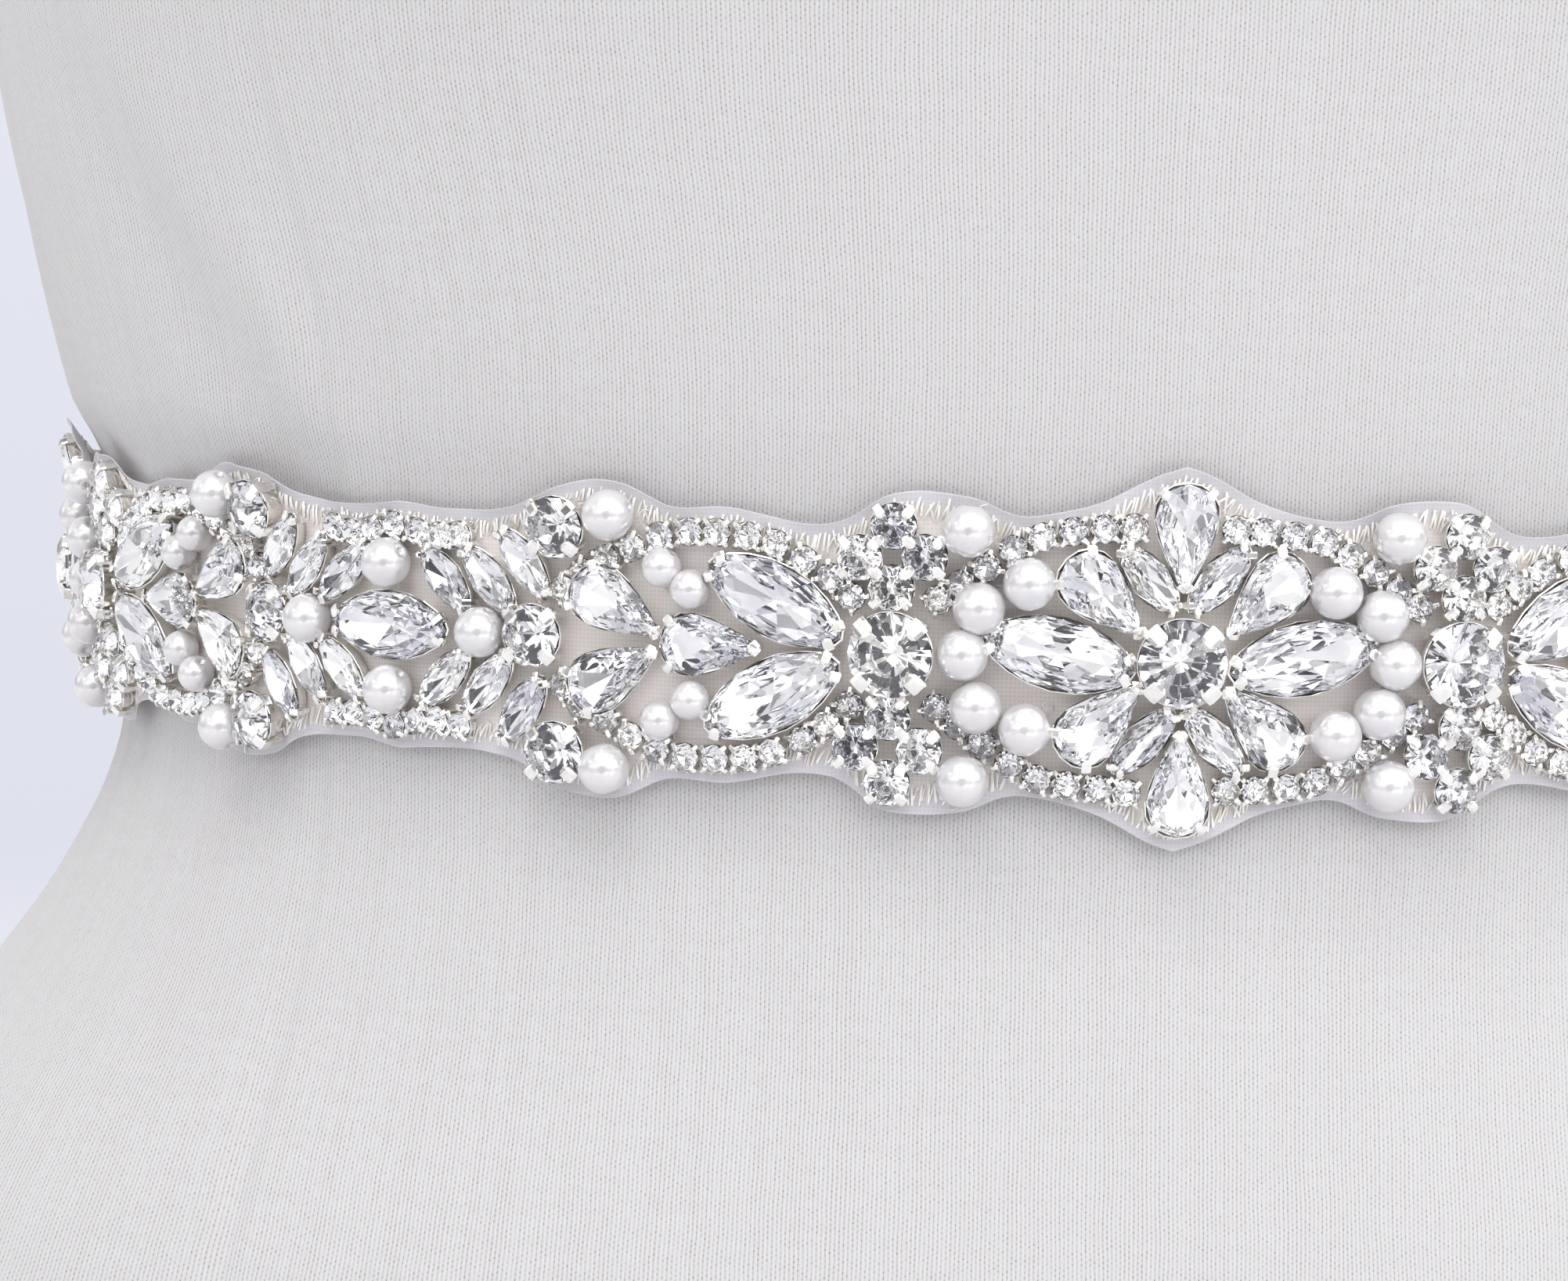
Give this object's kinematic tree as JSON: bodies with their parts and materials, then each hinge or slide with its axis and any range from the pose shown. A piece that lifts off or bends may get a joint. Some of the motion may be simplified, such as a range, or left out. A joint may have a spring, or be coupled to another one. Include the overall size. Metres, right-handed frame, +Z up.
{
  "type": "bridal sash on a dress form",
  "caption": "Beaded bridal waist sash, a scalloped organza applique with crystals and pearls on a satin ribbon tied behind, worn round a limbless jersey-covered dress form.",
  "frame": {"origin": "centre of the bounding box at the underside of the form's base, which stands on the table", "axes": "+Z up, the sash's middle medallion faces -Y, and +X is the viewer's right"},
  "size_m": [0.342, 0.2327, 0.6893],
  "materials": {
    "jersey": "fine ribbed cotton jersey, off-white, matt",
    "plate": "satin moulded",
    "organza": "sheer white organza",
    "satin": "ivory double-faced satin",
    "crystal": "clear faceted, foiled behind",
    "setting": "bright silver plate",
    "pearl": "ivory pearl lacquer",
    "thread": "white embroidery thread"
  },
  "bodies": {
    "root": {"form_torso": "jersey", "form_base": "plate", "form_neck_cap": "plate", "sash_applique": "organza", "ribbon_left": "satin", "ribbon_right": "satin", "ribbon_knot": "satin", "tail_left": "satin", "tail_right": "satin"}
  },
  "joints": []
}
